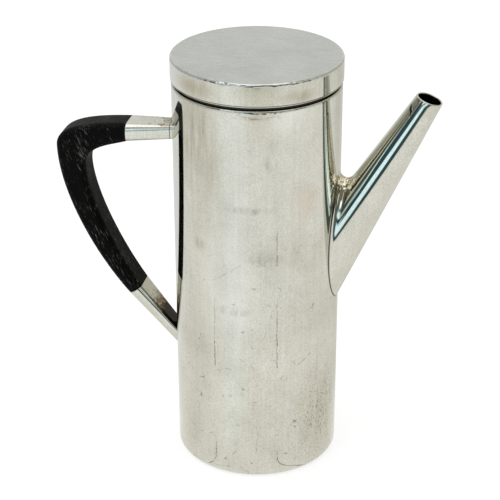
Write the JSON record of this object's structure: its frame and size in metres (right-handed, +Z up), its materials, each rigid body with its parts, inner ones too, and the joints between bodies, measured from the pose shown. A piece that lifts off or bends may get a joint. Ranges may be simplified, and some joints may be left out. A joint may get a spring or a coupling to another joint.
{
  "type": "coffee pot",
  "caption": "Tall straight-sided round silver coffee pot with a slanting conical spout, a bent ebony handle in tapered sockets and a flat lift-off lid, for serving hot coffee.",
  "frame": {"origin": "centre of the flat base, on the body's axis, at table height", "axes": "+Z up along the body's axis, +X towards the spout, -X towards the handle"},
  "size_m": [0.2072, 0.091, 0.2332],
  "materials": {
    "polished_silver": "polished silver with fine wear and a little tarnish",
    "satin_silver": "satin silver, finely brushed",
    "ebony": "oiled ebony with faint grey grain"
  },
  "bodies": {
    "pot": {"body_wall": "polished_silver", "base_plate": "polished_silver", "lid_bearer": "polished_silver", "spout": "polished_silver", "upper_ferrule": "polished_silver", "lower_ferrule": "polished_silver", "handle_grip": "ebony", "upper_handle_pin": "polished_silver", "lower_handle_pin": "polished_silver"},
    "lid": {"lid_top": "satin_silver", "lid_band": "polished_silver", "lid_bezel": "polished_silver"}
  },
  "joints": [
    {"name": "lid_lift", "type": "slide", "parent": "pot", "child": "lid", "axis": [0, 0, 1], "range_m": [0, 0.12]}
  ]
}
